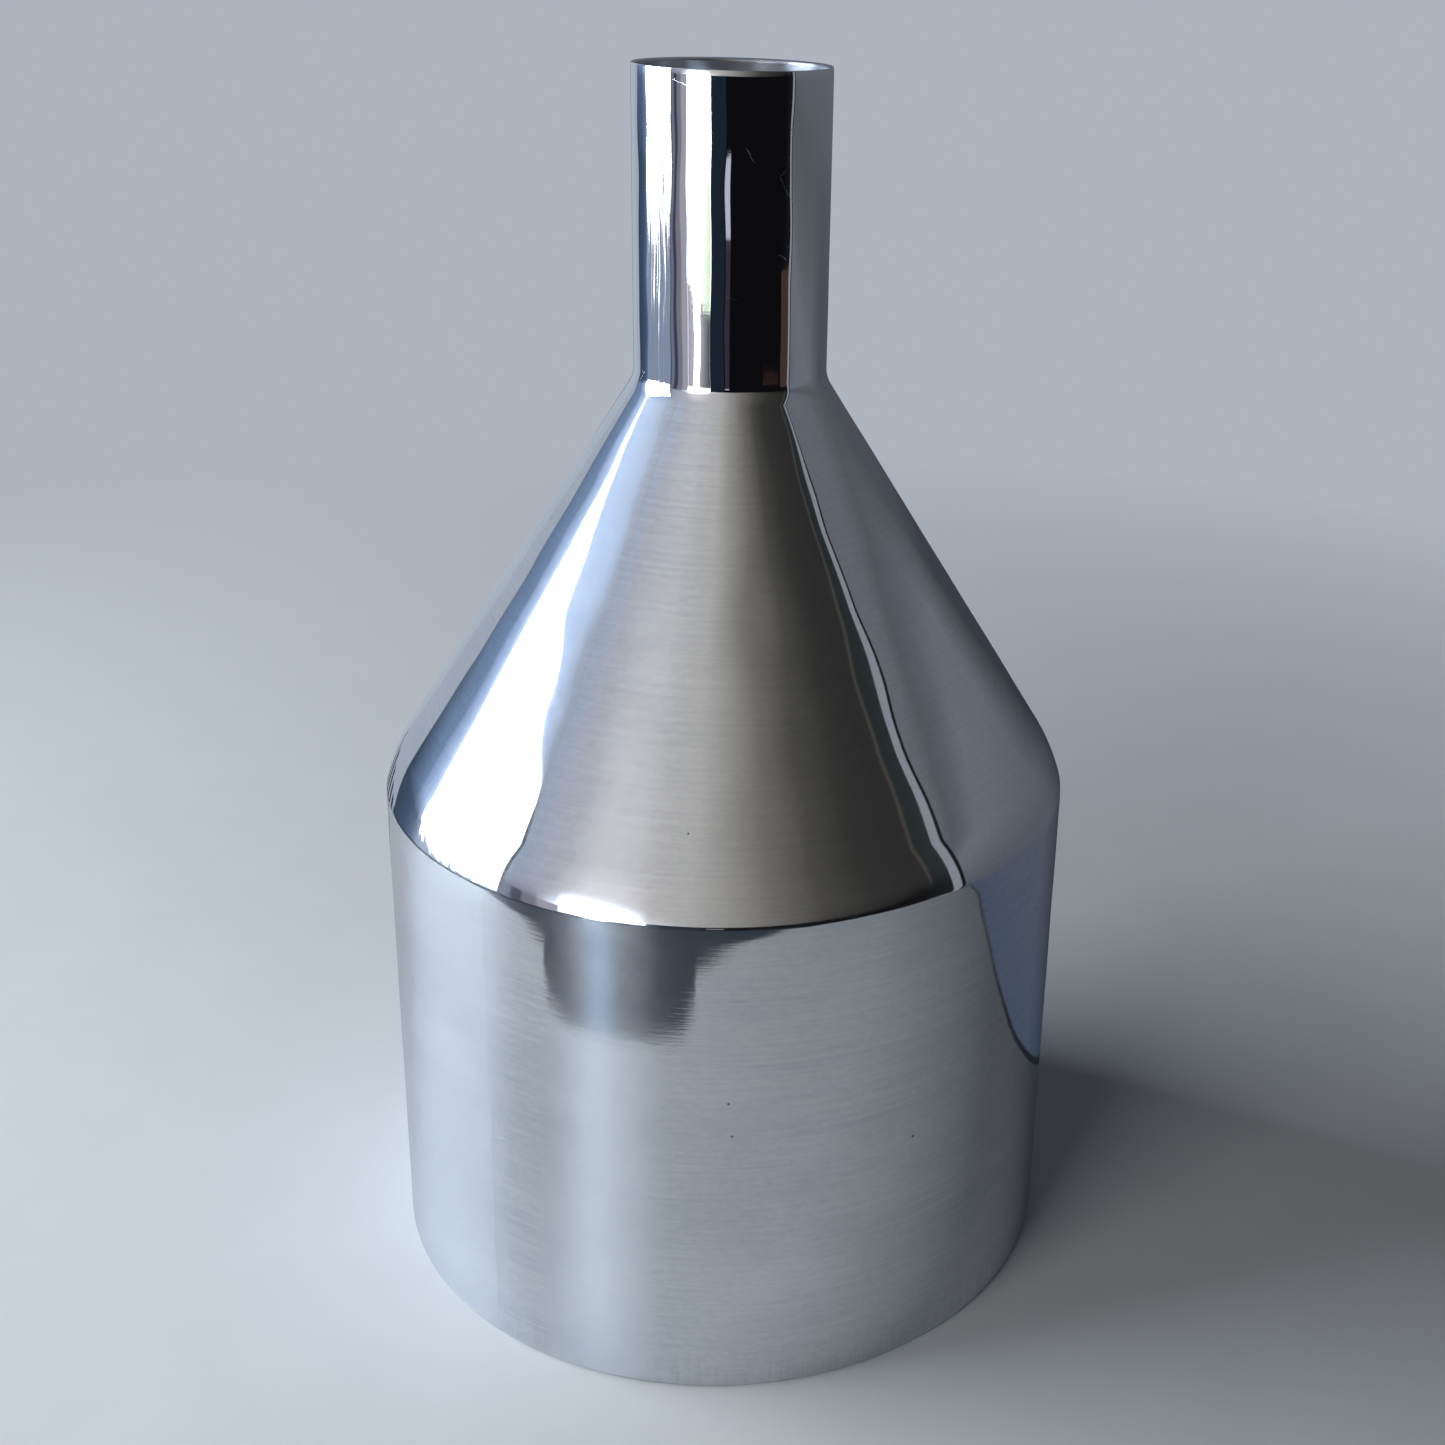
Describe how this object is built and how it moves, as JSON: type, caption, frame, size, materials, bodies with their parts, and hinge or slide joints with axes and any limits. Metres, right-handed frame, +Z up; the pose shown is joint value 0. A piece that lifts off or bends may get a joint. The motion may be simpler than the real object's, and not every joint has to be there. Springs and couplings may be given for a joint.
{
  "type": "canning funnel",
  "caption": "Canning funnel of polished sheet metal: wide cylindrical body, steep cone and long straight spout, standing on its hemmed mouth.",
  "frame": {"origin": "centre of the mouth's resting plane", "axes": "+Z up the axis of revolution, from the wide mouth to the spout's tip"},
  "size_m": [0.22, 0.22, 0.3815],
  "materials": {
    "brushed_body": "satin, with fine scratches running round it",
    "satin_cone": "glossy satin, polished in circles",
    "polished_spout": "mirror polish"
  },
  "bodies": {
    "root": {"body": "brushed_body", "cone": "satin_cone", "spout": "polished_spout"}
  },
  "joints": []
}
